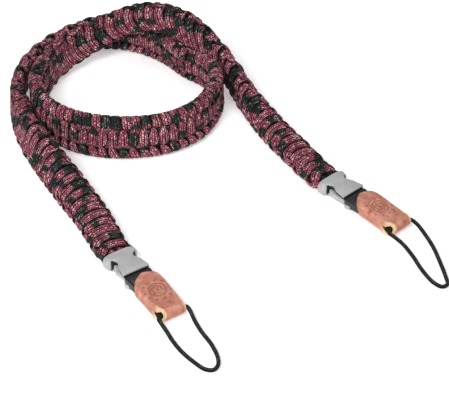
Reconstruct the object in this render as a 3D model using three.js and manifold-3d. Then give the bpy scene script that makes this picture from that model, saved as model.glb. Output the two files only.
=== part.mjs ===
// Braided camera neck strap, lying in a loose coil with both ends towards the viewer.
// Millimetres, +Z up. The floor is Z = 0, +Y points away from the viewer.
import * as THREE from "three";
import { mergeVertices } from "three/addons/utils/BufferGeometryUtils.js";
import Module from "manifold-3d";

const wasm = await Module();
wasm.setup();

// The part's origin is the centre of its base, seen from the middle of the table's own frame.
const origin_x = -14.52;
const origin_y = 33.9;

// Braid: a flat band of woven cord. Its cross-section is a rounded oblong.
const braid_thickness = 9;
const section_roundness = 2.6;
const section_points = 20;
const ring_spacing = 6.5;
const neck_start = 277;
const neck_end = 593;
const seam_gap = 0.3;

// How the band lies. One row for each section along it, from the left end to the right end.
// x, y: the middle of the band on the floor plan. rise: height of its lowest edge.
// roll: 0 lies flat, 90 stands on edge, 180 lies flat on its other face. width: across the band.
const band_columns = ["x", "y", "rise", "roll", "width"];
const band_rows = [
  [-62.2, -56.8, 0, 0, 21],
  [-66.45, -50.5, 0, 4, 21],
  [-78.5, -24, 0, 15, 22],
  [-96, 7, 0, 27, 23],
  [-114.5, 39, 0, 45, 23],
  [-123.5, 56, 0, 58, 23],
  [-131, 74, 0, 72, 22],
  [-136, 93, 0, 85, 21],
  [-136.5, 113, 0, 90, 21],
  [-132.5, 134, 0, 90, 21],
  [-123, 152, 0, 90, 21.5],
  [-109, 166, 0, 90, 23],
  [-91, 174, 0, 90, 26],
  [-73, 174.5, 0, 92, 28],
  [-55.5, 168, 0, 90, 25],
  [-40, 155, 0, 84, 24.1],
  [-27.4, 139, 0, 80, 24.2],
  [-12.2, 126, 0, 88, 26.2],
  [-5, 107, 0, 88, 27.4],
  [-8, 87, 0, 86, 28.5],
  [-17.5, 68, 0, 84, 29],
  [-35, 54.5, 0, 82, 29],
  [-57, 48.5, 0, 82, 29.5],
  [-79, 49.5, 0, 82, 30],
  [-99, 57, 0, 84, 30],
  [-114, 71, 0, 86, 29.5],
  [-122.5, 91, 0, 91, 29],
  [-122.5, 111, 0, 94, 28],
  [-117, 131, 0.5, 97, 27.5],
  [-106.5, 147.5, 2.5, 98, 26],
  [-90.5, 158, 8, 99, 24],
  [-72.5, 161.5, 17.2, 100, 22],
  [-54.5, 158.5, 25.1, 103, 21.3],
  [-37, 153.5, 26.3, 103, 21.3],
  [-20.5, 146.8, 20.6, 111, 21.8],
  [-5.4, 136.5, 9.2, 108, 21.5],
  [6.5, 120, 2.5, 108, 20],
  [14.5, 101.5, 0, 118, 19],
  [23, 83.5, 0, 134, 19],
  [32.3, 66, 0, 152, 19.5],
  [43, 49, 0, 165, 20.5],
  [59.5, 22.05, 0, 178, 21],
  [65.25, 15.8, 0, 180, 21],
];

// Ends: each is a buckle, a leather tab and a cord loop in one line, turned about the vertical.
const end_columns = ["side", "x", "y", "turn"];
const end_rows = [
  ["left", -62.0, -57.1, -55.8],
  ["right", 65.5, 15.5, -47.4],
];

// Buckle socket: a shell with a closed shoulder, two plates and two ribs between them.
const socket_length = 20;
const socket_height = 8.6;
const socket_plate = 1.8;
const socket_edge = 0.5;
const shoulder_half = 11;
const shoulder_end = 6;
const waist_half = 8.9;
const sole_half = 6.8;
const rib_outer = 5;
const rib_inner = 3.6;
const tongue_pocket = 3;
const socket_columns = ["along", "across"];
const socket_outline = [
  [0, shoulder_half - 0.6],
  [0.6, shoulder_half],
  [3.2, shoulder_half],
  [4.6, 9.5],
  [6, 7.4],
  [7.2, 6.4],
  [9, 6.3],
  [12.4, 8.1],
  [socket_length, waist_half],
];

// Buckle plug: a base behind the socket, a middle tongue and two hooked side prongs.
const plug_start = 20.3;
const plug_end = 33;
const plug_half = 8.8;
const plug_tail_half = 7.8;
const plug_floor = 1.3;
const plug_top = 6.9;
const plug_edge = 0.5;
const prong_floor = 2.8;
const prong_top = 6.2;
const prong_root = 24;
const tongue_half = 2.8;
const tongue_tip = 4;
const prong_outline = [
  [prong_root, 6.4],
  [12.4, 6.2],
  [11.2, 5.6],
  [8, 5.6],
  [7.4, 6.8],
  [7.8, 8.8],
  [9.2, 10],
  [11.2, 10],
  [12.8, 9.3],
  [prong_root, 8.8],
];

// Leather tab: a strip folded over the plug, pressed flat and rolled into a tube at its end.
const tab_width = 20;
const tab_edge = 0.35;
const tab_front = 24.8;
const tab_square = 33.3;
const tab_front_low = plug_top + 0.25;
const tube_along = 57;
const tube_radius = 4.2;
const bore_radius = 2.3;
const bore_steps = 20;
const tube_wrap_start = -135;
const tube_wrap_end = 120;
const tube_wrap_steps = 18;
const tab_low_side = [
  [tab_front, tab_front_low],
  [tab_square, tab_front_low],
  [tab_square, 2.4],
  [44, 1.9],
  [50.5, 1.8],
];
const tab_high_side = [
  [50.5, 7.4],
  [44, 7.9],
  [36, 9],
  [tab_front, 9.3],
];
const tab_nose_steps = 14;
const tab_plan_columns = ["along", "near", "far"];
const tab_plan_rows = [
  [tab_square, -9.8, 8.9],
  [49, -9.3, 8],
  [53.5, -7.9, 7.5],
  [tube_along + tube_radius + 1, -7.26, 7.32],
];

// Cord loop: one thin cord through the tube, its two cut ends meeting inside it.
const cord_radius = 1.2;
const cord_sides = 8;
const cord_steps = 40;
const cord_lift = 1.25;
const cord_bore_along = tube_along + 0.6;
const cord_columns = ["along", "across", "up"];
const cord_routes = {
  left: [
    [cord_bore_along, -0.15, tube_radius],
    [cord_bore_along, -4, tube_radius],
    [cord_bore_along, -7.4, 4.1],
    [58.8, -9.5, 3.7],
    [62, -9.9, 3],
    [68, -10.1, 1.6],
    [76, -11.3, cord_lift],
    [86, -11.9, cord_lift],
    [97, -10.8, cord_lift],
    [104.6, -9, cord_lift],
    [107.6, -5.6, cord_lift],
    [106.2, -1.6, cord_lift],
    [101, 1.9, cord_lift],
    [90.7, 4.8, cord_lift],
    [78, 6.2, cord_lift],
    [68, 8.1, 1.6],
    [62, 9.4, 3],
    [58.8, 9.4, 3.7],
    [cord_bore_along, 7.4, 4.1],
    [cord_bore_along, 4, tube_radius],
    [cord_bore_along, 0.15, tube_radius],
  ],
  right: [
    [cord_bore_along, -0.15, tube_radius],
    [cord_bore_along, -4, tube_radius],
    [cord_bore_along, -7.4, 4.1],
    [58.8, -9.5, 3.7],
    [62.3, -9.3, 3],
    [69.5, -9.2, 1.7],
    [80.5, -12.6, cord_lift],
    [90.5, -17.1, cord_lift],
    [98.5, -20.1, cord_lift],
    [105.5, -21.7, cord_lift],
    [111, -20.9, cord_lift],
    [111.8, -17, cord_lift],
    [106.3, -12.4, cord_lift],
    [96, -5.4, cord_lift],
    [84, 2.1, cord_lift],
    [72, 7.6, 1.6],
    [63.5, 9.8, 3],
    [59.2, 9.6, 3.7],
    [cord_bore_along, 7.4, 4.1],
    [cord_bore_along, 4, tube_radius],
    [cord_bore_along, 0.15, tube_radius],
  ],
};

const looks = {
  braid: { color: 0x9a3c55, roughness: 0.9, metalness: 0 },
  socket: { color: 0xa9a9a9, roughness: 0.4, metalness: 0.35 },
  plug: { color: 0x151716, roughness: 0.25, metalness: 0 },
  leather: { color: 0xc67a66, roughness: 0.6, metalness: 0 },
  cord: { color: 0x2a2c2c, roughness: 0.85, metalness: 0 },
};

function named(columns, rows) {
  return rows.map((row) => Object.fromEntries(columns.map((name, index) => [name, row[index]])));
}

// Distances along the table, and the slope of every column at each row.
const band = named(band_columns, band_rows);
const band_at = [0];
for (let i = 1; i < band.length; i += 1) {
  const step = Math.hypot(band[i].x - band[i - 1].x, band[i].y - band[i - 1].y);
  band_at.push(band_at[i - 1] + step);
}
const band_length = band_at[band.length - 1];
const band_slope = band.map((row, i) => {
  const before = Math.max(i - 1, 0);
  const after = Math.min(i + 1, band.length - 1);
  const run = band_at[after] - band_at[before];
  return Object.fromEntries(
    band_columns.map((name) => [name, (band[after][name] - band[before][name]) / run]),
  );
});

// The band at a distance along it: smooth curves through the table's rows.
function bandSection(distance) {
  let i = 0;
  while (i < band.length - 2 && distance > band_at[i + 1]) {
    i += 1;
  }
  const run = band_at[i + 1] - band_at[i];
  const f = (distance - band_at[i]) / run;
  const start = 2 * f ** 3 - 3 * f ** 2 + 1;
  const leave = (f ** 3 - 2 * f ** 2 + f) * run;
  const end = 1 - start;
  const arrive = (f ** 3 - f ** 2) * run;
  const turn_out = (6 * f ** 2 - 6 * f) / run;
  const turn_leave = 3 * f ** 2 - 4 * f + 1;
  const turn_arrive = 3 * f ** 2 - 2 * f;
  const value = {};
  const slope = {};
  for (const name of band_columns) {
    const a = band[i][name];
    const b = band[i + 1][name];
    const m = band_slope[i][name];
    const n = band_slope[i + 1][name];
    value[name] = start * a + leave * m + end * b + arrive * n;
    slope[name] = turn_out * (a - b) + turn_leave * m + turn_arrive * n;
  }
  const length = Math.hypot(slope.x, slope.y);
  const roll = THREE.MathUtils.degToRad(value.roll);
  const left = new THREE.Vector3(-slope.y / length, slope.x / length, 0);
  const up = new THREE.Vector3(0, 0, 1);
  const across = up.clone().multiplyScalar(Math.sin(roll)).addScaledVector(left, -Math.cos(roll));
  const face = up.clone().multiplyScalar(Math.cos(roll)).addScaledVector(left, Math.sin(roll));
  return { value, across, face };
}

function oblongPoint(width, angle) {
  const bend = (t) => Math.sign(t) * Math.abs(t) ** (2 / section_roundness);
  return [(width / 2) * bend(Math.cos(angle)), (braid_thickness / 2) * bend(Math.sin(angle))];
}

function bandRing(distance) {
  const { value, across, face } = bandSection(distance);
  const offsets = [];
  for (let k = 0; k < section_points; k += 1) {
    const [a, b] = oblongPoint(value.width, (2 * Math.PI * k) / section_points);
    offsets.push(across.clone().multiplyScalar(a).addScaledVector(face, b));
  }
  const lowest = Math.min(...offsets.map((offset) => offset.z));
  const rise = Math.max(value.rise, 0);
  const middle = new THREE.Vector3(value.x - origin_x, value.y - origin_y, rise - lowest);
  return offsets.map((offset) => offset.add(middle));
}

function bandGeometry(from, to) {
  const steps = Math.round((to - from) / ring_spacing);
  const positions = [];
  const faces = [];
  const centres = [];
  for (let i = 0; i <= steps; i += 1) {
    const ring = bandRing(from + ((to - from) * i) / steps);
    const centre = new THREE.Vector3();
    for (const point of ring) {
      positions.push(point.x, point.y, point.z);
      centre.addScaledVector(point, 1 / section_points);
    }
    centres.push(centre);
  }
  for (let i = 0; i < steps; i += 1) {
    for (let k = 0; k < section_points; k += 1) {
      const a = i * section_points + k;
      const b = i * section_points + ((k + 1) % section_points);
      faces.push(a, a + section_points, b, b, a + section_points, b + section_points);
    }
  }
  const start_centre = positions.length / 3;
  const end_centre = start_centre + 1;
  positions.push(centres[0].x, centres[0].y, centres[0].z);
  positions.push(centres[steps].x, centres[steps].y, centres[steps].z);
  for (let k = 0; k < section_points; k += 1) {
    const next = (k + 1) % section_points;
    const last = steps * section_points;
    faces.push(start_centre, k, next);
    faces.push(end_centre, last + next, last + k);
  }
  const geometry = new THREE.BufferGeometry();
  geometry.setAttribute("position", new THREE.Float32BufferAttribute(positions, 3));
  geometry.setIndex(faces);
  return geometry;
}

function toSolid(geometry) {
  const plain = geometry.clone();
  plain.deleteAttribute("normal");
  plain.deleteAttribute("uv");
  const merged = mergeVertices(plain, 1e-5);
  const vertProperties = new Float32Array(merged.attributes.position.array);
  const triVerts = new Uint32Array(merged.index.array);
  return new wasm.Manifold(new wasm.Mesh({ numProp: 3, vertProperties, triVerts }));
}

function fromSolid(solid) {
  const mesh = solid.getMesh();
  const geometry = new THREE.BufferGeometry();
  geometry.setAttribute("position", new THREE.Float32BufferAttribute(mesh.vertProperties, 3));
  geometry.setIndex(Array.from(mesh.triVerts));
  return geometry;
}

// A plan outline raised between two heights, its rim rounded off by edge.
function raised(outline, low, high, edge) {
  const shape = new THREE.Shape(outline.map(([along, across]) => new THREE.Vector2(along, across)));
  const geometry = new THREE.ExtrudeGeometry(shape, {
    depth: high - low - 2 * edge,
    bevelEnabled: edge > 0,
    bevelThickness: edge,
    bevelSize: edge,
    bevelOffset: -edge,
    bevelSegments: 2,
  });
  geometry.translate(0, 0, low + edge);
  return geometry;
}

function block(along_from, along_to, across_from, across_to, low, high) {
  const size = [along_to - along_from, across_to - across_from, high - low];
  const geometry = new THREE.BoxGeometry(...size);
  geometry.translate(along_from + size[0] / 2, across_from + size[1] / 2, low + size[2] / 2);
  return geometry;
}

// Points counter-clockwise, the far side first mirrored from the near side.
function bothSides(half_outline) {
  const lower = half_outline.map(([along, across]) => [along, -across]);
  const upper = half_outline.map(([along, across]) => [along, across]).reverse();
  return lower.concat(upper);
}

function socketGeometry() {
  let shell = toSolid(raised(bothSides(socket_outline), 0, socket_height, socket_edge));
  const low = socket_plate;
  const high = socket_height - socket_plate;
  const past = socket_length + 1;
  const wide = shoulder_half + 1;
  shell = shell.subtract(toSolid(block(shoulder_end, past, rib_outer, wide, low, high)));
  shell = shell.subtract(toSolid(block(shoulder_end, past, -wide, -rib_outer, low, high)));
  shell = shell.subtract(toSolid(block(tongue_pocket, past, -rib_inner, rib_inner, low, high)));
  shell = shell.subtract(toSolid(block(shoulder_end, past, sole_half, wide, -1, low + 0.1)));
  shell = shell.subtract(toSolid(block(shoulder_end, past, -wide, -sole_half, -1, low + 0.1)));
  return fromSolid(shell);
}

function plugGeometry() {
  const base_outline = bothSides([
    [plug_start, plug_half],
    [plug_end - 1.5, plug_tail_half],
    [plug_end, plug_tail_half - 1],
  ]);
  const far_prong = prong_outline.map(([along, across]) => [along, -across]).reverse();
  const base = toSolid(raised(base_outline, plug_floor, plug_top, plug_edge));
  const near = toSolid(raised(prong_outline, prong_floor, prong_top, 0));
  const far = toSolid(raised(far_prong, prong_floor, prong_top, 0));
  const tongue = block(tongue_tip, prong_root, -tongue_half, tongue_half, prong_floor, prong_top);
  return fromSolid(base.add(near).add(far).add(toSolid(tongue)));
}

function tabGeometry() {
  const profile = tab_low_side.map(([along, up]) => new THREE.Vector2(along, up));
  for (let i = 0; i <= tube_wrap_steps; i += 1) {
    const share = i / tube_wrap_steps;
    const degrees = tube_wrap_start + (tube_wrap_end - tube_wrap_start) * share;
    const angle = THREE.MathUtils.degToRad(degrees);
    const along = tube_along + tube_radius * Math.cos(angle);
    profile.push(new THREE.Vector2(along, tube_radius + tube_radius * Math.sin(angle)));
  }
  tab_high_side.forEach(([along, up]) => profile.push(new THREE.Vector2(along, up)));
  const shape = new THREE.Shape(profile);
  const bore = new THREE.Path();
  bore.absarc(tube_along, tube_radius, bore_radius, 0, 2 * Math.PI, true);
  shape.holes.push(bore);
  const strip = new THREE.ExtrudeGeometry(shape, {
    depth: tab_width - 2 * tab_edge,
    curveSegments: bore_steps,
    bevelEnabled: true,
    bevelThickness: tab_edge,
    bevelSize: tab_edge,
    bevelOffset: -tab_edge,
    bevelSegments: 1,
  });
  strip.translate(0, 0, tab_edge - tab_width / 2);
  strip.rotateX(Math.PI / 2);
  const rows = named(tab_plan_columns, tab_plan_rows);
  const plan = [];
  const nose = tab_square - tab_front;
  const nose_middle = (rows[0].near + rows[0].far) / 2;
  const nose_half = (rows[0].far - rows[0].near) / 2;
  for (let i = 1; i < tab_nose_steps; i += 1) {
    const angle = Math.PI / 2 + (Math.PI * i) / tab_nose_steps;
    const across = nose_middle + nose_half * Math.sin(angle);
    plan.push([tab_square + nose * Math.cos(angle), across]);
  }
  rows.forEach((row) => plan.push([row.along, row.near]));
  rows.toReversed().forEach((row) => plan.push([row.along, row.far]));
  const high = tab_high_side[tab_high_side.length - 1][1] + 1;
  return fromSolid(toSolid(strip).intersect(toSolid(raised(plan, -1, high, 0))));
}

function cordGeometry(side) {
  const route = named(cord_columns, cord_routes[side]);
  const points = route.map((row) => new THREE.Vector3(row.along, row.across, row.up));
  const section = new THREE.Shape();
  for (let k = 0; k < cord_sides; k += 1) {
    const angle = (2 * Math.PI * (k + 0.5)) / cord_sides;
    const point = [cord_radius * Math.cos(angle), cord_radius * Math.sin(angle)];
    if (k === 0) {
      section.moveTo(...point);
    } else {
      section.lineTo(...point);
    }
  }
  section.closePath();
  return new THREE.ExtrudeGeometry(section, {
    steps: cord_steps,
    extrudePath: new THREE.CatmullRomCurve3(points, false, "centripetal"),
    bevelEnabled: false,
  });
}

const strap = new THREE.Group();
strap.name = "camera_neck_strap";

function addMesh(name, geometry, look) {
  geometry.computeVertexNormals();
  const mesh = new THREE.Mesh(geometry, new THREE.MeshStandardMaterial(look));
  mesh.name = name;
  strap.add(mesh);
}

addMesh("left_leg_braid", bandGeometry(0, neck_start - seam_gap / 2), looks.braid);
addMesh("neck_braid", bandGeometry(neck_start + seam_gap / 2, neck_end - seam_gap / 2), looks.braid);
addMesh("right_leg_braid", bandGeometry(neck_end + seam_gap / 2, band_length), looks.braid);

for (const end of named(end_columns, end_rows)) {
  const place = (geometry) => {
    geometry.rotateZ(THREE.MathUtils.degToRad(end.turn));
    geometry.translate(end.x - origin_x, end.y - origin_y, 0);
    return geometry;
  };
  addMesh(`${end.side}_buckle_socket`, place(socketGeometry()), looks.socket);
  addMesh(`${end.side}_buckle_plug`, place(plugGeometry()), looks.plug);
  addMesh(`${end.side}_leather_tab`, place(tabGeometry()), looks.leather);
  addMesh(`${end.side}_cord_loop`, place(cordGeometry(end.side)), looks.cord);
}

export default strap;
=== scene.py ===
import contextlib
import math

import bpy
import numpy as np
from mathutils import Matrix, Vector


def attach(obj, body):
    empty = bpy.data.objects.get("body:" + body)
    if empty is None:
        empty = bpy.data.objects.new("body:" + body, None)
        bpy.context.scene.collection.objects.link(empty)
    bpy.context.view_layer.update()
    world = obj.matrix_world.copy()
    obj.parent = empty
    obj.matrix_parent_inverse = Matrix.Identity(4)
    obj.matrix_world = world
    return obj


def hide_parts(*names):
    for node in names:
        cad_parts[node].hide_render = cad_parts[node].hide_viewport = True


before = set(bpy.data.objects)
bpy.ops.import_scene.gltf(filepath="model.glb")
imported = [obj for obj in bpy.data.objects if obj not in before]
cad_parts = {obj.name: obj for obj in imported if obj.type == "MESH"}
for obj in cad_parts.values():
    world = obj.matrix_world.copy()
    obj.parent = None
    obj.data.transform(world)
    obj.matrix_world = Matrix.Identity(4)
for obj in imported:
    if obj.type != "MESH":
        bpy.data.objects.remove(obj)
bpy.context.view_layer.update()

# lengths are in mm up to the mesh, which is in metres
MM = 0.001
# the part's origin, in the plan coordinates of the tables below
ORIGIN = (-14.52, 33.9)

# the camera of the photograph looks at the zero of those plan coordinates
CAMERA_ELEVATION = 38.0
CAMERA_DISTANCE = 1010.0
FOCAL_PIXELS = 1642.0
PHOTO_WIDTH = 449.0
SENSOR_WIDTH = 36.0

aim = Vector((-ORIGIN[0], -ORIGIN[1], 0)) * MM
pitch = math.radians(CAMERA_ELEVATION)
towards = Vector((0, -math.cos(pitch), math.sin(pitch)))
camera_data = bpy.data.cameras.new("camera")
camera_data.sensor_width = SENSOR_WIDTH
camera_data.lens = SENSOR_WIDTH * FOCAL_PIXELS / PHOTO_WIDTH
camera = bpy.data.objects.new("camera", camera_data)
bpy.context.scene.collection.objects.link(camera)
camera.location = aim + towards * CAMERA_DISTANCE * MM
camera.rotation_euler = (math.pi / 2 - pitch, 0, 0)
bpy.context.scene.camera = camera

# the band's section is a rounded oblong; ROUND is the exponent of its outline
THICK = 9.0
ROUND = 2.6
SECTION_SIDES = 20
# where the legs end and the neck section lies between them, in mm along the band
NECK_START = 277.0
NECK_END = 593.0

# x, y, rise of the lowest edge, roll in degrees, width; one row for each section
BAND = np.array([
    (-62.2, -56.8, 0, 0, 21),
    (-66.45, -50.5, 0, 4, 21),
    (-78.5, -24, 0, 15, 22),
    (-96, 7, 0, 27, 23),
    (-114.5, 39, 0, 45, 23),
    (-123.5, 56, 0, 58, 23),
    (-131, 74, 0, 72, 22),
    (-136, 93, 0, 85, 21),
    (-136.5, 113, 0, 90, 21),
    (-132.5, 134, 0, 90, 21),
    (-123, 152, 0, 90, 21.5),
    (-109, 166, 0, 90, 23),
    (-91, 174, 0, 90, 26),
    (-73, 174.5, 0, 92, 28),
    (-55.5, 168, 0, 90, 25),
    (-40, 155, 0, 84, 24.1),
    (-27.4, 139, 0, 80, 24.2),
    (-12.2, 126, 0, 88, 26.2),
    (-5, 107, 0, 88, 27.4),
    (-8, 87, 0, 86, 28.5),
    (-17.5, 68, 0, 84, 29),
    (-35, 54.5, 0, 82, 29),
    (-57, 48.5, 0, 82, 29.5),
    (-79, 49.5, 0, 82, 30),
    (-99, 57, 0, 84, 30),
    (-114, 71, 0, 86, 29.5),
    (-122.5, 91, 0, 91, 29),
    (-122.5, 111, 0, 94, 28),
    (-117, 131, 0.5, 97, 27.5),
    (-106.5, 147.5, 2.5, 98, 26),
    (-90.5, 158, 8, 99, 24),
    (-72.5, 161.5, 17.2, 100, 22),
    (-54.5, 158.5, 25.1, 103, 21.3),
    (-37, 153.5, 26.3, 103, 21.3),
    (-20.5, 146.8, 20.6, 111, 21.8),
    (-5.4, 136.5, 9.2, 108, 21.5),
    (6.5, 120, 2.5, 108, 20),
    (14.5, 101.5, 0, 118, 19),
    (23, 83.5, 0, 134, 19),
    (32.3, 66, 0, 152, 19.5),
    (43, 49, 0, 165, 20.5),
    (59.5, 22.05, 0, 178, 21),
    (65.25, 15.8, 0, 180, 21),
])
KNOTS = np.concatenate([[0], np.cumsum(np.hypot(*np.diff(BAND[:, :2], axis=0).T))])
BAND_LENGTH = KNOTS[-1]
SLOPES = np.vstack([
    (BAND[1] - BAND[0]) / (KNOTS[1] - KNOTS[0]),
    (BAND[2:] - BAND[:-2]) / (KNOTS[2:] - KNOTS[:-2])[:, None],
    (BAND[-1] - BAND[-2]) / (KNOTS[-1] - KNOTS[-2]),
])


def unit(vectors):
    return vectors / np.linalg.norm(vectors, axis=1)[:, None]


def squared(value, power):
    """Cosine or sine for an outline that is a circle at power 2 and squarer above it."""
    return np.sign(value) * np.abs(value) ** (2 / power)


def lengths_along(points):
    steps = np.linalg.norm(np.diff(points, axis=0), axis=1)
    return np.concatenate([[0], np.cumsum(steps)])


def band_at(distance):
    """Middle, across and face directions and width of the band, for distances in mm."""
    distance = np.asarray(distance, float)
    d = np.clip(distance, 0, BAND_LENGTH)
    i = np.clip(np.searchsorted(KNOTS, d, side="right") - 1, 0, len(KNOTS) - 2)
    run = KNOTS[i + 1] - KNOTS[i]
    f = ((d - KNOTS[i]) / run)[:, None]
    run = run[:, None]
    # each column goes along a Hermite curve from one row of the table to the next
    start = 2 * f ** 3 - 3 * f ** 2 + 1
    row = start * BAND[i] + (f ** 3 - 2 * f ** 2 + f) * run * SLOPES[i]
    row = row + (1 - start) * BAND[i + 1] + (f ** 3 - f ** 2) * run * SLOPES[i + 1]
    turn = (6 * f ** 2 - 6 * f) / run * (BAND[i] - BAND[i + 1])
    turn = turn + (3 * f ** 2 - 4 * f + 1) * SLOPES[i] + (3 * f ** 2 - 2 * f) * SLOPES[i + 1]
    flat = unit(turn[:, :2])
    roll = np.radians(row[:, 3])
    width = row[:, 4]
    left = np.stack([-flat[:, 1], flat[:, 0], np.zeros(len(d))], -1)
    up = np.array([0.0, 0.0, 1.0])
    across = np.sin(roll)[:, None] * up - np.cos(roll)[:, None] * left
    face = np.cos(roll)[:, None] * up + np.sin(roll)[:, None] * left
    # the middle is so high that the section's lowest point is at the table's rise
    angle = 2 * np.pi * np.arange(SECTION_SIDES) / SECTION_SIDES
    wide = width[:, None] / 2 * squared(np.cos(angle), ROUND)
    thick = THICK / 2 * squared(np.sin(angle), ROUND)
    lowest = (wide * across[:, 2:] + thick * face[:, 2:]).min(axis=1)
    height = np.maximum(row[:, 2], 0) - lowest
    middle = np.stack([row[:, 0] - ORIGIN[0], row[:, 1] - ORIGIN[1], height], -1)
    # past an end the band goes straight on
    middle[:, :2] += flat * (distance - d)[:, None]
    return middle, across, face, width


class Graph:
    """The nodes of one material. An input's name has _ in place of each space."""

    def __init__(self, name):
        self.material = bpy.data.materials.new(name)
        self.material.use_nodes = True
        self.nodes = self.material.node_tree.nodes
        self.links = self.material.node_tree.links
        self.nodes.clear()
        self.base = self.node("BsdfPrincipled")
        self.node("OutputMaterial", Surface=self.base.outputs["BSDF"])

    def put(self, socket, value):
        if isinstance(value, bpy.types.NodeSocket):
            self.links.new(value, socket)
        else:
            socket.default_value = value

    def fill(self, node, inputs):
        for name, value in inputs.items():
            self.put(node.inputs[name.replace("_", " ")], value)

    def node(self, kind, **inputs):
        node = self.nodes.new("ShaderNode" + kind)
        self.fill(node, inputs)
        return node

    def surface(self, **inputs):
        self.fill(self.base, inputs)

    def uv(self, layer):
        """A UV map, as a vector and as its two numbers."""
        node = self.node("UVMap")
        node.uv_map = layer
        parts = self.node("SeparateXYZ", Vector=node.outputs["UV"])
        return node.outputs["UV"], parts.outputs[0], parts.outputs[1]

    def place(self):
        return self.node("TexCoord").outputs["Object"]

    def noise(self, vector, scale, **inputs):
        return self.node("TexNoise", Vector=vector, Scale=scale, **inputs).outputs["Fac"]

    def math(self, operation, *values, clamp=False):
        node = self.node("Math")
        node.operation = operation
        node.use_clamp = clamp
        for socket, value in zip(node.inputs, values):
            self.put(socket, value)
        return node.outputs[0]

    def times(self, a, b):
        return self.math("MULTIPLY", a, b)

    def less(self, a, b):
        return self.math("SUBTRACT", a, b)

    def ramp(self, value, stops):
        """Colour for a number; stops are (number, colour)."""
        node = self.node("ValToRGB", Fac=value)
        elements = node.color_ramp.elements
        while len(elements) < len(stops):
            elements.new(0.5)
        for element, (position, colour) in zip(elements, stops):
            element.position = position
            element.color = (*colour, 1)
        return node.outputs["Color"]

    def mix(self, kind, factor, a, b):
        node = self.node("Mix")
        node.data_type = "RGBA"
        node.blend_type = kind
        self.put(node.inputs["Factor"], factor)
        # the sockets A and B and the result that hold colours
        self.put(node.inputs[6], a)
        self.put(node.inputs[7], b)
        return node.outputs[2]

    def bump(self, height, strength, distance):
        node = self.node("Bump", Height=height, Strength=strength, Distance=distance)
        self.surface(Normal=node.outputs["Normal"])


WHITE = (1, 1, 1)
DARK_STOP = (0, 0, 0)

# a cord's sheath: rows of stitches round it, the length of a stitch, the gap as a share of a row
SHEATH_ROWS = 15
THIN_ROWS = 8
STITCH_LENGTH = 1.7
STITCH_GAP = 0.24
STITCH_GAP_BLUR = 0.3
# how dark or pale a stitch and its gap are
STITCH_DARKEST = (0.22, 0.22, 0.22, 1)
STITCH_PALEST = (1, 1, 1, 1)
STITCH_SEAM = (0.4, 0.4, 0.4, 1)
# depth of the stitches in metres
STITCH_RELIEF = 0.00025
# paleness of a stitch, colour
ROSY = [(0.0, (0.26, 0.034, 0.068)), (0.35, (0.38, 0.080, 0.126)),
        (0.75, (0.56, 0.22, 0.268)), (1.0, (0.82, 0.52, 0.545))]
CHARCOAL = [(0.0, (0.010, 0.013, 0.011)), (0.6, (0.030, 0.038, 0.034)),
            (0.86, (0.078, 0.092, 0.084)), (1.0, (0.27, 0.24, 0.245))]
BLACK = [(0.0, (0.022, 0.025, 0.025)), (0.6, (0.040, 0.044, 0.044)), (1.0, (0.100, 0.108, 0.108))]
ROSY_GAP = (0.045, 0.003, 0.010, 1)
CHARCOAL_GAP = (0.006, 0.008, 0.007, 1)
BLACK_GAP = (0.006, 0.007, 0.007, 1)
# camouflage patches: rows for one patch round the cord, ragged edge, threshold for equal shares
PATCH_ROWS = 40.0
PATCH_FRAY = 0.14
PATCH_HALF = 0.57
PATCH_SHARE = 0.28
PATCH_BLUR = 0.008
# painted shade: a cord is darkened towards its two sides, where it lies in the shade of the next
PAINTED_FLANK_SHADE = [(0.66, WHITE), (0.96, (0.08, 0.06, 0.06))]


def cord_material(name, rows, camouflage=None):
    """Braided sheath: rows of stitches along the cord.

    camouflage is the share of charcoal and the length of a patch in mm, or None for a black cord.
    """
    graph = Graph(name)
    plane, along, row = graph.uv("cord")
    stitch = graph.node("TexBrick", Vector=plane, Scale=1.0, Brick_Width=STITCH_LENGTH,
                        Row_Height=1.0, Mortar_Size=STITCH_GAP, Mortar_Smooth=STITCH_GAP_BLUR,
                        Color1=STITCH_DARKEST, Color2=STITCH_PALEST, Mortar=STITCH_SEAM)
    gap = stitch.outputs["Fac"]
    pale = stitch.outputs["Color"]
    if camouflage:
        share, length = camouflage
        patches = graph.node("CombineXYZ", X=graph.times(along, 1 / length),
                             Y=graph.times(row, 1 / PATCH_ROWS)).outputs[0]
        blotch = graph.noise(patches, 1.0, Detail=1.5, Roughness=0.45)
        fray = graph.times(graph.noise(plane, 1.3), PATCH_FRAY)
        edge = PATCH_HALF + PATCH_SHARE * (0.5 - share)
        dark = graph.ramp(graph.math("ADD", blotch, fray),
                          [(edge - PATCH_BLUR, DARK_STOP), (edge + PATCH_BLUR, WHITE)])
        ground = graph.mix("MIX", dark, graph.ramp(pale, ROSY), graph.ramp(pale, CHARCOAL))
        deep = graph.mix("MIX", dark, ROSY_GAP, CHARCOAL_GAP)
    else:
        ground = graph.ramp(pale, BLACK)
        deep = BLACK_GAP
    colour = graph.mix("MIX", gap, ground, deep)
    # painted shade: the colour is multiplied darker towards the cord's two sides
    turned = graph.math("COSINE", graph.times(row, 2 * math.pi / rows))
    flank_shade = graph.ramp(graph.math("ABSOLUTE", turned), PAINTED_FLANK_SHADE)
    graph.surface(Base_Color=graph.mix("MULTIPLY", 1.0, colour, flank_shade), Roughness=0.7,
                  Specular_IOR_Level=0.14)
    graph.bump(graph.less(1.0, gap), 0.8, STITCH_RELIEF)
    return graph.material


weave_look = cord_material("woven_cord_look", SHEATH_ROWS, (0.40, 11.5))
thin_look = cord_material("thin_cord_look", THIN_ROWS)
heart_look = cord_material("core_cord_look", SHEATH_ROWS, (0.55, 15.0))


def new_object(name, verts, faces, materials):
    """An object from points in mm."""
    mesh = bpy.data.meshes.new(name)
    mesh.from_pydata([tuple(v) for v in np.array(verts) * MM], [], faces)
    mesh.update()
    obj = bpy.data.objects.new(name, mesh)
    bpy.context.scene.collection.objects.link(obj)
    for material in materials:
        mesh.materials.append(material)
    return obj


# a cord that would dip into the floor is pressed flat this far above it
FLOOR_CLEARANCE = 0.02
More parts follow.
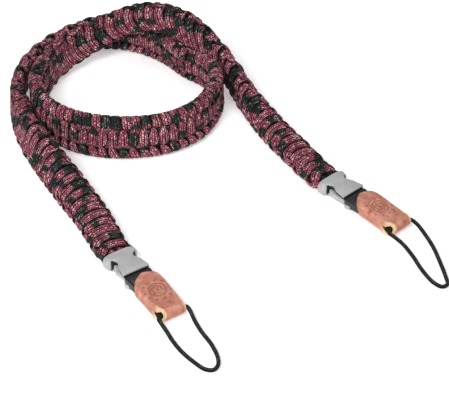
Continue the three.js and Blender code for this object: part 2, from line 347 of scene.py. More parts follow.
# section of the woven cords and of the round thin ones
WEAVE_SIDES = 14
WEAVE_POWER = 2.6
CORE_SIDES = 24
CORE_POWER = 2.3
THIN_SIDES = 16


class Bundle:
    """Cords swept one by one into one mesh, with the length along each in its UV map."""

    def __init__(self):
        self.verts, self.faces, self.uvs, self.slots = [], [], [], []
        self.count = 0

    def add_face(self, corners, uvs, slot):
        self.faces.append(corners)
        self.uvs += uvs
        self.slots.append(slot)

    def sweep(self, points, normals, wide, thick, sides, power, rows, shift=0, slot=0):
        """A cord of half-widths wide and thick along the points, which starts at length shift."""
        n = len(points)
        tangent = unit(np.gradient(points, axis=0))
        normals = unit(normals - (normals * tangent).sum(1)[:, None] * tangent)
        side = np.cross(tangent, normals)
        angle = 2 * np.pi * np.arange(sides) / sides
        wide = np.broadcast_to(wide, n)[:, None] * squared(np.cos(angle), power)
        thick = np.broadcast_to(thick, n)[:, None] * squared(np.sin(angle), power)
        ring = points[:, None, :] + wide[:, :, None] * side[:, None, :]
        ring = ring + thick[:, :, None] * normals[:, None, :]
        ring[:, :, 2] = np.maximum(ring[:, :, 2], FLOOR_CLEARANCE)
        length = lengths_along(points) + shift
        first = self.count
        self.verts.append(ring.reshape(-1, 3))
        self.verts.append(np.array([points[0], points[-1]]))
        self.count += n * sides + 2
        for i in range(n - 1):
            u0, u1 = length[i], length[i + 1]
            for k in range(sides):
                a, b = first + i * sides + k, first + i * sides + (k + 1) % sides
                v0, v1 = rows * k / sides, rows * (k + 1) / sides
                # corners run so that the face points outwards
                self.add_face((a, a + sides, b + sides, b),
                              [(u0, v0), (u1, v0), (u1, v1), (u0, v1)], slot)
        near, far = first + n * sides, first + n * sides + 1
        last = first + (n - 1) * sides
        u0, u1 = length[0], length[-1]
        for k in range(sides):
            m = (k + 1) % sides
            v0, v1 = rows * k / sides, rows * (k + 1) / sides
            self.add_face((near, first + k, first + m), [(u0 - 1, v0), (u0, v0), (u0, v1)], slot)
            self.add_face((far, last + m, last + k), [(u1 + 1, v0), (u1, v1), (u1, v0)], slot)

    def build(self, name, materials):
        obj = new_object(name, np.concatenate(self.verts), self.faces, materials)
        layer = obj.data.uv_layers.new(name="cord")
        layer.data.foreach_set("uv", np.array(self.uvs, dtype=np.float32).ravel())
        polygons = obj.data.polygons
        polygons.foreach_set("material_index", np.array(self.slots, dtype=np.int32))
        polygons.foreach_set("use_smooth", np.ones(len(self.faces), dtype=bool))
        return obj


def wobble(t, seed):
    """A small steady unevenness from -1 to 1, the same in every run."""
    waves = ((1.93, 2.1), (3.17, 5.3), (0.71, 1.0))
    return sum(np.sin(t * pace + seed * offset) for pace, offset in waves) / len(waves)


def surface_normal(a, b, half_width, across, face):
    """Outward direction on the band's outline through the place a across and b through it."""
    power = ROUND - 1
    na = np.sign(a) * np.abs(a / half_width) ** power / half_width
    nb = np.sign(b) * np.abs(b / (THICK / 2)) ** power / (THICK / 2)
    return unit(na[:, None] * across + nb[:, None] * face)


# place along the band, reach along it and size of two bulges: where the right leg rests on the
# neck its lower edge sags over it, and where the left leg lies beside the neck it nestles to it
SAG = (703.0, 10.0, 3.2)
NESTLE = (158.0, 13.0, 2.8)


def bulge(distance, place, reach, size):
    return size * np.exp(-((distance - place) / reach) ** 2)


# spacing of the core's stations, its margin at the ends, how much flatter it is than wide
CORE_STEP = 4
CORE_MARGIN = 0.5
CORE_FLATTER = 0.1
CORE_ROWS = 4 * SHEATH_ROWS
# how much of the bulges the core cords follow
CORE_SAG = 0.6
CORE_NESTLE = 0.5


def heart(bundle, start, end, share):
    """The core cords that run along inside the band and show only between the woven ones."""
    start, end = start + CORE_MARGIN, end - CORE_MARGIN
    d = np.linspace(start, end, int((end - start) / CORE_STEP))
    middle, across, face, width = band_at(d)
    middle = middle - across * bulge(d, *SAG)[:, None] * CORE_SAG
    middle = middle - face * bulge(d, *NESTLE)[:, None] * CORE_NESTLE
    bundle.sweep(middle, face, width / 2 * share, THICK / 2 * (share - CORE_FLATTER),
                 CORE_SIDES, CORE_POWER, CORE_ROWS, slot=1)


# the legs: two cords cross on the faces at every level and turn round each other at the edges
COBRA_PITCH = 7.2
COBRA_STEPS = 36
COBRA_CORE = 0.74
COBRA_THICK = 1.55
COBRA_WIDE = 3.6
# share of its width that a cord has in the loops at the edges
COBRA_LOOP_WIDE = 0.72
# how suddenly a cord turns at the edges, how far a bar arches in levels and leans in mm
COBRA_BOW = 0.36
COBRA_ARCH = 0.62
COBRA_LEAN = 3.8
# the bars start to lean this far from the buckle, and lean in full after this much more
LEAN_FROM = 60
LEAN_RUN = 70
# how far a cord runs ahead in the loops, and the margin at the ends
COBRA_AHEAD = 1.30
COBRA_MARGIN = 0.3
# height of a cord over the middle of the band: mean, swing and lowest, as shares of its depth
COBRA_MEAN = 0.36
COBRA_SWING = 0.95
COBRA_LOW = -0.4
# the nestling is full on the band's back and ends in front, at this share of a cord's depth
NESTLE_FROM = 0.4
# how far inside the band's edge a cord turns, as a share of its thickness
COBRA_EDGE = 1.1
# height above the middle over which a crossing cord turns its flat side to the face
COBRA_TURN = 0.9
# unevenness of a cord's place in levels, and of its thickness and width in mm
COBRA_UNEVEN = (0.07, 0.1, 0.2)
# the pattern of the second cord and of each next piece starts this much further along, in mm
SECOND_CORD = 531.0
CORD_SHIFT = 97


def cobra(name, start, end, away, seed):
    """A leg from start to end; away is 1 or -1, the way from its buckle along the band."""
    bundle = Bundle()
    heart(bundle, start, end, COBRA_CORE)
    buckle_end = start if away > 0 else end
    levels = int(round((end - start) / COBRA_PITCH))
    step = (end - start) / levels
    t = np.linspace(0.0, levels, levels * COBRA_STEPS + 1)
    rock = np.cos(np.pi * t)
    crossing = 1 - rock ** 2
    bow = np.sign(rock) * np.abs(rock) ** COBRA_BOW
    arch = COBRA_ARCH * away * (1 - bow ** 2) * step
    ahead = COBRA_AHEAD * np.sin(2 * np.pi * t) / (2 * np.pi)
    uneven_place, uneven_thick, uneven_wide = COBRA_UNEVEN
    for sign, shift in ((1, 0.0), (-1, SECOND_CORD)):
        distance = start + step * (t + ahead) + arch
        far_off = np.clip((np.abs(distance - buckle_end) - LEAN_FROM) / LEAN_RUN, 0, 1)
        distance = distance - away * COBRA_LEAN * far_off * sign * bow
        distance = distance + uneven_place * step * wobble(t, seed + sign)
        distance = np.clip(distance, start + COBRA_MARGIN, end - COBRA_MARGIN)
        middle, across, face, width = band_at(distance)
        thick = COBRA_THICK + uneven_thick * wobble(t * 0.9, seed + 3 * sign)
        wide = COBRA_WIDE * (COBRA_LOOP_WIDE + (1 - COBRA_LOOP_WIDE) * crossing)
        wide = wide + uneven_wide * wobble(t * 0.8, seed + 4 * sign)
        reach = width / 2 - thick * COBRA_EDGE
        a = -sign * reach * bow
        a = a - bulge(distance, *SAG) * np.clip(-a / reach, 0, 1)
        depth = THICK / 2 - thick
        b = COBRA_MEAN - COBRA_SWING * np.cos(2 * np.pi * t)
        b = sign * depth * np.clip(b, COBRA_LOW, 1.0)
        b = b - bulge(distance, *NESTLE) * np.clip(NESTLE_FROM - b / depth, 0, 1)
        points = middle + a[:, None] * across + b[:, None] * face
        round_off = surface_normal(a, b, width / 2, across, face)
        flat_on = crossing[:, None] * np.tanh(b / COBRA_TURN)[:, None] * face
        bundle.sweep(points, round_off + flat_on, wide, thick, WEAVE_SIDES, WEAVE_POWER,
                     SHEATH_ROWS, shift + seed * CORD_SHIFT)
    return bundle.build(name, [weave_look, heart_look])


# the neck section: one cord goes to and fro in three rows
NECK_PITCH = 3.1
NECK_STEPS = 22
NECK_CORE = 0.72
NECK_THICK = 1.7
NECK_WIDE = 3.65
# share of the half-width that the middle row takes
NECK_MIDDLE = 0.52
# the outer rows keep this much of their swell from this share of the half-width outwards
NECK_RIM_FROM = 0.76
NECK_RIM_SWELL = 0.80
# the lower row lies aslant by this much, from this share of the half-width outwards, and is
# narrower by a share
NECK_SLANT = 5.5
NECK_SLANT_FROM = 0.35
NECK_SLANT_POWER = 1.3
NECK_SLANT_NARROW = 0.2
# how far the cord runs ahead at the edges, and the margin at the ends
NECK_AHEAD = 0.8
NECK_MARGIN = 0.8
NECK_EDGE = 0.9
# the cord lies flat on a face over part of each row, more so for a higher number
NECK_FLAT = 1.5
# shares of a cord's thickness and width that it has where it dives
NECK_DIVE_THICK = 0.82
NECK_DIVE_WIDE = 0.16
NECK_DIVE_POWER = 0.85
# unevenness of the cord's place in rows, and of its thickness and width in mm
NECK_UNEVEN = (0.10, 0.08, 0.15)
# a step along the band that shows which way it goes
AHEAD = 1.0


def neck(name, start, end, seed):
    """One cord: over the outer thirds and under the middle, then the other way about."""
    bundle = Bundle()
    heart(bundle, start, end, NECK_CORE)
    rows = int(round((end - start) / NECK_PITCH))
    step = (end - start) / rows
    t = np.linspace(0.0, rows, rows * NECK_STEPS + 1)
    rock = np.cos(np.pi * t)
    uneven_place, uneven_thick, uneven_wide = NECK_UNEVEN
    slant = np.clip((rock - NECK_SLANT_FROM) / (1 - NECK_SLANT_FROM), 0, 1)
    ahead = NECK_AHEAD * np.sin(2 * np.pi * t) / (2 * np.pi)
    distance = start + step * (t + ahead) - NECK_SLANT * slant ** NECK_SLANT_POWER
    distance = distance + uneven_place * step * wobble(t, seed)
    distance = np.clip(distance, start + NECK_MARGIN, end - NECK_MARGIN)
    middle, across, face, width = band_at(distance)
    share = np.abs(rock)
    phase = np.where(share < NECK_MIDDLE, share / NECK_MIDDLE * np.pi / 2,
                     np.pi / 2 + (share - NECK_MIDDLE) / (1 - NECK_MIDDLE) * np.pi)
    swell = np.abs(np.cos(phase))
    swell = np.where(share > NECK_RIM_FROM, np.maximum(swell, NECK_RIM_SWELL), swell)
    thick = NECK_THICK * (NECK_DIVE_THICK + (1 - NECK_DIVE_THICK) * swell)
    thick = thick + uneven_thick * wobble(t * 1.1, seed + 2)
    wide = NECK_WIDE * (NECK_DIVE_WIDE + (1 - NECK_DIVE_WIDE) * swell ** NECK_DIVE_POWER)
    wide = wide * (1 - NECK_SLANT_NARROW * slant) + uneven_wide * wobble(t * 0.7, seed + 4)
    side = np.where(np.floor(t).astype(int) % 2 == 0, 1.0, -1.0)
    depth = THICK / 2 - thick
    a = -(width / 2 - thick * NECK_EDGE) * rock
    b = -side * depth * np.clip(NECK_FLAT * np.cos(phase), -1, 1)
    points = middle + a[:, None] * across + b[:, None] * face
    along = unit(band_at(distance + AHEAD)[0] - middle)
    normals = np.cross(along, unit(np.gradient(points, axis=0)))
    bundle.sweep(points, normals, wide, thick, WEAVE_SIDES, WEAVE_POWER, SHEATH_ROWS,
                 seed * CORD_SHIFT)
    return bundle.build(name, [weave_look, heart_look])


def takes_place(piece, node):
    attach(piece, "root")
    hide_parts(node)


# x, y and turn in degrees of each end: along is the way out of the strap, up is up
ENDS = {
    "left": (-62.0, -57.1, -55.8),
    "right": (65.5, 15.5, -47.4),
}
PLUG_TOP = 6.9
TUBE_ALONG = 57.0
TUBE_RADIUS = 4.2
BORE_RADIUS = 2.3
CORD_RADIUS = 1.2

# along, across, up of each loop's middle line; it starts and ends in the tube's bore
LIFT = 1.25
IN_BORE = TUBE_ALONG + 0.6
INTO_BORE = [(IN_BORE, 7.4, 4.1), (IN_BORE, 4, TUBE_RADIUS), (IN_BORE, 0.15, TUBE_RADIUS)]
OUT_OF_BORE = [(along, -across, up) for along, across, up in reversed(INTO_BORE)]
ROUTES = {
    "left": [
        (58.8, -9.5, 3.7), (62, -9.9, 3), (68, -10.1, 1.6), (76, -11.3, LIFT), (86, -11.9, LIFT),
        (97, -10.8, LIFT), (104.6, -9, LIFT), (107.6, -5.6, LIFT), (106.2, -1.6, LIFT),
        (101, 1.9, LIFT), (90.7, 4.8, LIFT), (78, 6.2, LIFT), (68, 8.1, 1.6), (62, 9.4, 3),
        (58.8, 9.4, 3.7),
    ],
    "right": [
        (58.8, -9.5, 3.7), (62.3, -9.3, 3), (69.5, -9.2, 1.7), (80.5, -12.6, LIFT),
        (90.5, -17.1, LIFT), (98.5, -20.1, LIFT), (105.5, -21.7, LIFT), (111, -20.9, LIFT),
        (111.8, -17, LIFT), (106.3, -12.4, LIFT), (96, -5.4, LIFT), (84, 2.1, LIFT),
        (72, 7.6, 1.6), (63.5, 9.8, 3), (59.2, 9.6, 3.7),
    ],
}
LOOP_POINTS = 150
# points of a curve between two rows of its table
CURVE_STEPS = 24


def end_frame(side):
    """x and y in the part's frame and turn in radians of an end."""
    x, y, turn = ENDS[side]
    return x - ORIGIN[0], y - ORIGIN[1], math.radians(turn)


def placed(side, along, across, up):
    """From an end's own directions to the part's frame, in mm."""
    x, y, turn = end_frame(side)
    c, s = math.cos(turn), math.sin(turn)
    return x + along * c - across * s, y + along * s + across * c, up


def centripetal(points, count):
    """A smooth curve through the points, sampled evenly along its length, and that length."""
    p = np.asarray(points, float)
    p = np.vstack([2 * p[0] - p[1], p, 2 * p[-1] - p[-2]])
    curve = []
    for i in range(1, len(p) - 2):
        k = [0.0]
        for j in range(3):
            k.append(k[-1] + np.linalg.norm(p[i + j] - p[i + j - 1]) ** 0.5)
        for t in np.linspace(k[1], k[2], CURVE_STEPS, endpoint=False):
            a = [((k[j + 1] - t) * p[i - 1 + j] + (t - k[j]) * p[i + j]) / (k[j + 1] - k[j])
                 for j in range(3)]
            b = [((k[j + 2] - t) * a[j] + (t - k[j]) * a[j + 1]) / (k[j + 2] - k[j])
                 for j in range(2)]
            curve.append(((k[2] - t) * b[0] + (t - k[1]) * b[1]) / (k[2] - k[1]))
    curve.append(p[-2])
    curve = np.array(curve)
    run = lengths_along(curve)
    even = np.linspace(0, run[-1], count)
    return np.stack([np.interp(even, run, curve[:, j]) for j in range(3)], -1), run[-1]


for side in ENDS:
    route = OUT_OF_BORE + ROUTES[side] + INTO_BORE
    line, length = centripetal([placed(side, *row) for row in route], LOOP_POINTS)
    bundle = Bundle()
    bundle.sweep(line, np.tile([0.0, 0.0, 1.0], (len(line), 1)), CORD_RADIUS, CORD_RADIUS,
                 THIN_SIDES, 2.0, THIN_ROWS)
    loop = bundle.build(f"{side}_loop_cord", [thin_look])
    takes_place(loop, f"{side}_cord_loop")

# length and height of the socket, its plates, and the dark sheet, ribs and cheek in it; the sheet,
# ribs and cheek are painted shade, near-black for the shade inside the socket
SOCKET_LENGTH = 20.0
SOCKET_HEIGHT = 8.6
PLATE = 1.8
TOP_THICK = 1.3
SHADE_SHEET_LOW = 5.9
SHADE_SHEET_FROM = 4.5
SHADE_SHEET_TO = SOCKET_LENGTH - 0.3
SHADE_SHEET_INSET = 0.4
SHADE_SHEET_HALF = 6.8
RIB_FROM = 4.0
RIB_TO = SOCKET_LENGTH - 0.4
RIB_INNER = 3.4
RIB_OUTER = 4.6
CHEEK = [(4.6, -8.3), (5.4, -8.3), (5.4, 8.3), (4.6, 8.3)]
CHEEK_LOW = PLATE - 0.6
CHEEK_TOP = SOCKET_HEIGHT - 0.7
# pieces that meet run into each other by this much
OVERLAP = 0.1
# heights of the plug's body, tongue, prongs and the prongs' thick roots
PLUG_LOW = 1.3
PRONG_LOW = 2.4
PRONG_TOP = 5.3
TONGUE_TOP = 6.2
ROOT_LOW = 0.9
ROOT_TOP = 3.6

# along, half-width: the shoulder that the braid goes into
SHOULDER = [(-0.6, 10.3), (0.2, 11.0), (3.0, 11.0), (4.2, 10.2), (5.2, 9.0)]
SHOULDER_SIDES = 40
SHOULDER_POWER = 3.6
# along, across of one half of each plan outline
TOP_PLATE = [(1.5, 0.0), (1.35, 4.0), (0.9, 7.4), (0.3, 9.6), (2.8, 9.5), (3.9, 8.6), (5.6, 6.4),
             (7.0, 5.6), (8.6, 5.6), (10.4, 6.6), (12.4, 7.7), (SOCKET_LENGTH, 8.8)]
SOLE_PLATE = [(1.0, 0.0), (0.6, 9.4), (3.4, 9.2), (6.0, 7.0), (SOCKET_LENGTH, 6.7)]
PLUG_BASE = [(20.3, 0.0), (20.3, 8.8), (31.4, 7.9), (33.0, 6.8), (33.0, 0.0)]
TONGUE = [(4.0, 0.0), (4.2, 2.2), (5.0, 2.8), (24.0, 2.8), (24.0, 0.0)]
# along, across of the prong on one side and of its root
PRONG = [(24.0, 6.4), (13.0, 6.2), (10.0, 5.3), (7.4, 5.0), (6.2, 5.6), (6.0, 6.6), (7.0, 7.6),
         (9.6, 8.2), (11.4, 9.1), (12.8, 9.2), (14.2, 8.3), (24.0, 8.0)]
ROOT = [(20.6, 7.0), (20.8, 8.9), (22.0, 9.7), (24.0, 9.6), (25.2, 8.7), (25.4, 7.0)]
# bevels of the plates and tongue, the prongs, their roots, the plug's body and the leather
PLATE_EDGE = 0.4
PRONG_EDGE = 0.5
ROOT_EDGE = 0.8
BODY_EDGE = 0.9
LEATHER_EDGE = 0.5
FINE = 3
ROUNDER = 4
# edges sharper than this are bevelled, and faces that meet flatter than this shade smoothly
BEVEL_DEGREES = 32
SMOOTH_DEGREES = 40


def select_only(obj):
    bpy.ops.object.select_all(action="DESELECT")
    obj.select_set(True)
    bpy.context.view_layer.objects.active = obj


@contextlib.contextmanager
def editing(obj):
    """Edit mode with the whole mesh selected; the normals point outward at the end."""
    select_only(obj)
    bpy.ops.object.mode_set(mode="EDIT")
    bpy.ops.mesh.select_all(action="SELECT")
    yield
    bpy.ops.mesh.select_all(action="SELECT")
    bpy.ops.mesh.normals_make_consistent(inside=False)
    bpy.ops.object.mode_set(mode="OBJECT")


def extrude(x, y, z):
    bpy.ops.mesh.extrude_region_move(TRANSFORM_OT_translate={"value": (x * MM, y * MM, z * MM)})


def rounded(obj, edge, segments=FINE):
    bevel = obj.modifiers.new("bevel", "BEVEL")
    bevel.width = edge * MM
    bevel.segments = segments
    bevel.limit_method = "ANGLE"
    bevel.angle_limit = math.radians(BEVEL_DEGREES)
    select_only(obj)
    bpy.ops.object.modifier_apply(modifier=bevel.name)
    bpy.ops.object.shade_smooth_by_angle(angle=math.radians(SMOOTH_DEGREES))


def mirrored(outline, sign):
    return [(along, sign * across) for along, across in outline]


def both_sides(half):
    """A closed outline from its half; the points on the middle line are not doubled."""
    return half + mirrored([point for point in reversed(half) if point[1] > 0], -1)


def slab(name, outline, low, high, material):
    """A plan outline extruded from one height to another, in an end's own directions."""
    ring = [(along, across, low) for along, across in outline]
    obj = new_object(name, ring, [tuple(range(len(ring)))], [material])
    with editing(obj):
        extrude(0, 0, high - low)
    return obj


def shoulder(name, material):
    """The hollow end that the braid goes into: a ring extruded and resized between stations."""
    first, half = SHOULDER[0]
    middle = SOCKET_HEIGHT / 2
    angles = [2 * math.pi * i / SHOULDER_SIDES for i in range(SHOULDER_SIDES)]
    ring = [(first, half * squared(math.cos(angle), SHOULDER_POWER),
             middle * (1 + squared(math.sin(angle), SHOULDER_POWER))) for angle in angles]
    obj = new_object(name, ring, [tuple(range(len(ring)))], [material])
    with editing(obj):
        for (before, half_before), (after, half_after) in zip(SHOULDER, SHOULDER[1:]):
            extrude(after - before, 0, 0)
            bpy.ops.transform.resize(value=(1, half_after / half_before, 1),
                                     center_override=(after * MM, 0, middle * MM))
    return obj


def joined(pieces):
    """The pieces as one object, which keeps the first one's name."""
    select_only(pieces[0])
    for piece in pieces[1:]:
        piece.select_set(True)
    bpy.ops.object.join()
    return pieces[0]


def laid(obj, side):
    """Turned and moved to an end of the strap, with the turn kept in the mesh."""
    x, y, turn = end_frame(side)
    select_only(obj)
    obj.rotation_euler = (0, 0, turn)
    obj.location = (x * MM, y * MM, 0)
    bpy.ops.object.transform_apply(location=True, rotation=True, scale=True)
    return obj


# noise scales of the fine grain and the broad clouds, depth of the grain in metres, and how
# much the roughness varies
PLASTIC_GRAIN = 2600.0
PLASTIC_CLOUD = 140.0
PLASTIC_RELIEF = 0.00006
PLASTIC_SHEEN = 0.12


def plastic(name, colour, roughness, grain):
    graph = Graph(name)
    place = graph.place()
    fine = graph.noise(place, PLASTIC_GRAIN)
    cloud = [(0.35, tuple(v * 0.92 for v in colour)), (0.65, tuple(v * 1.06 for v in colour))]
    sheen = graph.math("MULTIPLY_ADD", fine, PLASTIC_SHEEN, roughness - PLASTIC_SHEEN / 2)
    graph.surface(Base_Color=graph.ramp(graph.noise(place, PLASTIC_CLOUD), cloud),
                  Roughness=sheen)
    graph.bump(fine, grain, PLASTIC_RELIEF)
    return graph.material


shell_look = plastic("grey_shell_look", (0.43, 0.43, 0.435), 0.36, 0.45)
# painted shade: near-black for the shade inside the socket, on the sheet under the top plate, the
# ribs and the cheek
inside_painted_shade_look = plastic("shell_inside_painted_shade_look", (0.02, 0.02, 0.021), 0.55, 0.2)
plug_look = plastic("black_plug_look", (0.014, 0.0145, 0.0155), 0.24, 0.12)
# painted reflection: the prongs and their roots belong to the glossy black plug; their light grey
# stands for the white surroundings reflected in them
prong_painted_reflection_look = plastic("prong_painted_reflection_look", (0.46, 0.47, 0.475), 0.22, 0.10)


def socket(side):
    shell = shoulder(f"{side}_socket_shell", shell_look)
    top_low = SOCKET_HEIGHT - TOP_THICK
    top = slab("top_plate", both_sides(TOP_PLATE), top_low, SOCKET_HEIGHT, shell_look)
    rounded(top, PLATE_EDGE)
    # painted shade: a near-black sheet under the top plate, near-black ribs and a near-black cheek
    # stand for the shade inside the socket
    inset = [(along, max(across - SHADE_SHEET_INSET, 0))
             for along, across in TOP_PLATE if along > SHADE_SHEET_FROM]
    half = [(SHADE_SHEET_FROM, 0.0), (SHADE_SHEET_FROM, SHADE_SHEET_HALF), *inset, (SHADE_SHEET_TO, 0.0)]
    shade_sheet = slab("shade_sheet", both_sides(half), SHADE_SHEET_LOW, top_low + OVERLAP, inside_painted_shade_look)
    sole = slab("sole_plate", both_sides(SOLE_PLATE), 0.0, PLATE, shell_look)
    rounded(sole, PLATE_EDGE)
    rib = [(RIB_FROM, RIB_INNER), (RIB_TO, RIB_INNER), (RIB_TO, RIB_OUTER), (RIB_FROM, RIB_OUTER)]
    ribs = [slab("rib", mirrored(rib, sign), PLATE - OVERLAP, SOCKET_HEIGHT - PLATE + OVERLAP,
                 inside_painted_shade_look) for sign in (-1, 1)]
    cheek = slab("cheek", CHEEK, CHEEK_LOW, CHEEK_TOP, inside_painted_shade_look)
    return joined([shell, top, shade_sheet, sole, *ribs, cheek])


def plug(side):
    base = slab(f"{side}_plug_body", both_sides(PLUG_BASE), PLUG_LOW, PLUG_TOP, plug_look)
    rounded(base, BODY_EDGE, ROUNDER)
    tongue = slab("tongue", both_sides(TONGUE), PRONG_LOW, TONGUE_TOP, plug_look)
    rounded(tongue, PLATE_EDGE)
    prongs = []
    for sign in (-1, 1):
        # painted reflection: prongs and roots take the light grey look
        prong = slab("prong", mirrored(PRONG, sign), PRONG_LOW, PRONG_TOP, prong_painted_reflection_look)
        rounded(prong, PRONG_EDGE)
        root = slab("root", mirrored(ROOT, sign), ROOT_LOW, ROOT_TOP, prong_painted_reflection_look)
        rounded(root, ROOT_EDGE, ROUNDER)
        prongs += [prong, root]
    return joined([base, tongue, *prongs])


# the tab's strip from its nose over the tube and back under: along and up of the middle of the
# leather, thickness
STRIP = [(24.8, 8.25, 2.0), (29.0, 8.15, 2.2), (32.0, 7.75, 2.9), (34.0, 6.75, 4.8),
         (38.0, 6.45, 4.9), (44.0, 6.0, 4.6), (48.5, 5.95, 4.3), (51.0, 6.1, 4.0),
         (53.4, 6.4, 3.6)]
STRIP_BACK = [(53.2, 2.4, 3.2), (51.0, 2.5, 2.8), (48.5, 2.5, 2.2), (44.0, 2.7, 1.7),
              (38.0, 3.1, 1.6), (33.3, 3.4, 1.6)]
# along, near edge, far edge of the strip
TAB_PLAN = [(33.3, -9.2, 8.9), (49.0, -8.6, 8.3), (53.5, -8.1, 8.0), (62.2, -7.3, 7.5)]
NOSE_FRONT = 24.8
NOSE_BACK = TAB_PLAN[0][0]
NOSE_STEPS = 14
# the first station is this far round the nose, in radians
NOSE_START = 0.12
STRIP_STEP = 0.8
# where the strip goes round the tube: first and last angle and step in degrees
TUBE_ARC = (93, -124, -12)
TUBE_WALL = TUBE_RADIUS - BORE_RADIUS
TUBE_MIDDLE = (TUBE_RADIUS + BORE_RADIUS) / 2
# how far the near side runs out for each mm lower down, and for each mm nearer the buckle on
# the tube, which starts at TUBE_FROM
NEAR_SLOPE = 0.36
NEAR_SLOPE_FROM = 30
NEAR_SLOPE_RUN = 6
TUBE_SLOPE = 0.25
TUBE_FROM = 53
BORE_FROM = 52.5
# the strip's upper side is a little crowned, and up to this length its cut edges look tanned
CROWN = 0.35
TANNED_EDGE = 26.5
ACROSS_STEPS = 14


def strip_edges(along):
    """Near and far edge of the strip, which narrows to a round nose at the buckle."""
    plan = np.array(TAB_PLAN)
    near = np.interp(along, plan[:, 0], plan[:, 1])
    far = np.interp(along, plan[:, 0], plan[:, 2])
    share = np.clip((NOSE_BACK - along) / (NOSE_BACK - NOSE_FRONT), 0, 0.999)
    return near * (1 - share ** 1.6) ** 0.85, far * np.sqrt(1 - share ** 3.2)


def strip_line():
    """Stations of the folded strip, from the nose round the tube to the buried end."""
    rows = list(STRIP)
    for degrees in range(*TUBE_ARC):
        angle = math.radians(degrees)
        rows.append((TUBE_ALONG + TUBE_MIDDLE * math.cos(angle),
                     TUBE_RADIUS + TUBE_MIDDLE * math.sin(angle), TUBE_WALL))
    rows = np.array(rows + STRIP_BACK)
    run = lengths_along(rows[:, :2])
    nose_length = NOSE_BACK - NOSE_FRONT
    nose = nose_length * (1 - np.cos(np.linspace(NOSE_START, math.pi / 2, NOSE_STEPS)))
    even = np.concatenate([nose, np.arange(nose[-1] + STRIP_STEP, run[-1], STRIP_STEP),
                           [run[-1]]])
    return np.stack([np.interp(even, run, rows[:, k]) for k in range(3)], -1), even


# colours of the leather by its mottle, of the stamp, and of the cut edge by the length along it
TANNED = [(0.30, (0.40, 0.138, 0.092)), (0.50, (0.53, 0.210, 0.148)), (0.68, (0.64, 0.310, 0.235))]
STAMPED = (0.30, 0.085, 0.058, 1)
EDGE_TANNED = (0.58, 0.30, 0.22)
EDGE_PALE = (0.84, 0.60, 0.34)
EDGE = [(0.34, EDGE_TANNED), (0.39, EDGE_PALE), (0.57, EDGE_PALE), (0.62, EDGE_TANNED)]
EDGE_RUN = 80.0
EDGE_MOTTLE = [(0.3, (0.78, 0.72, 0.66)), (0.7, WHITE)]
# noise scales of the mottle and the pores, depth of the relief in metres
MOTTLE = 210.0
PORES = 1500.0
LEATHER_RELIEF = 0.0004
# the stamp's middle, in mm along and across the strip, and how far its lines stray in all
STAMP_RUN = 17.0
STAMP_ACROSS = 0.8
STAMP_WOBBLE = 2.2
STAMP_WOBBLE_SCALE = 0.45
# radius and half the width of each line of the stamp in mm
STAMP_RING = (5.0, 0.6)
STAMP_DASHES = (8.2, 1.5)
STAMP_FLOWER = (2.9, 0.6)
STAMP_DOT = (0.6, 0.7)
STAMP_PETALS = 6.0
STAMP_PETAL_DEPTH = 0.75
STAMP_DASH_COUNT = 11.0
STAMP_TINT = 0.85


def leather_graph(name):
    graph = Graph(name)
    place = graph.place()
    return graph, place, graph.noise(place, MOTTLE, Detail=4.0), graph.uv("strip")


def cut_leather(name):
    """The raw edge, which is pale round the tube."""
    graph, _, mottle, (_, run, _) = leather_graph(name)
    edge = graph.ramp(graph.times(run, 1 / EDGE_RUN), EDGE)
    colour = graph.mix("MULTIPLY", 1.0, edge, graph.ramp(mottle, EDGE_MOTTLE))
    graph.surface(Base_Color=colour, Roughness=0.85)
    graph.bump(mottle, 0.3, LEATHER_RELIEF)
    return graph.material


def tanned_leather(name):
    """Vegetable-tanned leather with a generic stamp: a dot, a flower, a ring and dashes."""
    graph, place, mottle, (plane, run, across) = leather_graph(name)
    drift = graph.math("MULTIPLY_ADD", graph.noise(plane, STAMP_WOBBLE_SCALE), STAMP_WOBBLE,
                       -STAMP_WOBBLE / 2)
    x = graph.math("ADD", graph.less(run, STAMP_RUN), drift)
    y = graph.less(graph.less(across, STAMP_ACROSS), drift)
    radius = graph.math("SQRT", graph.math("ADD", graph.times(x, x), graph.times(y, y)))
    angle = graph.math("ARCTAN2", y, x)

    def rays(count):
        return graph.math("COSINE", graph.times(angle, count))

    def line(value, centre, half):
        off = graph.math("ABSOLUTE", graph.less(value, centre))
        return graph.math("SUBTRACT", 1.0, graph.math("DIVIDE", off, half), clamp=True)

    flower = graph.math("MULTIPLY_ADD", rays(STAMP_PETALS), -STAMP_PETAL_DEPTH, radius)
    dashed = graph.math("MULTIPLY_ADD", rays(STAMP_DASH_COUNT), 1.6, -0.5, clamp=True)
    stamp = graph.math("MAXIMUM", line(radius, *STAMP_RING),
                       graph.times(line(radius, *STAMP_DASHES), dashed))
    stamp = graph.math("MAXIMUM", stamp, line(flower, *STAMP_FLOWER))
    stamp = graph.math("MAXIMUM", stamp, line(radius, *STAMP_DOT))
    colour = graph.mix("MIX", graph.times(stamp, STAMP_TINT), graph.ramp(mottle, TANNED), STAMPED)
    graph.surface(Base_Color=colour, Roughness=0.52, Specular_IOR_Level=0.35)
    pores = graph.node("TexVoronoi", Vector=place, Scale=PORES).outputs["Distance"]
    graph.bump(graph.less(graph.times(pores, 0.12), stamp), 0.8, LEATHER_RELIEF)
    return graph.material


leather_look = tanned_leather("tan_leather_look")
raw_look = cut_leather("cut_leather_look")
# painted shade: the strip's under side inside the tube is near-black for the shade in the bore
bore_painted_shade_look = plastic("tube_inside_painted_shade_look", (0.035, 0.02, 0.014), 0.8, 0.3)
TAN_SLOT, RAW_SLOT, BORE_SLOT = 0, 1, 2


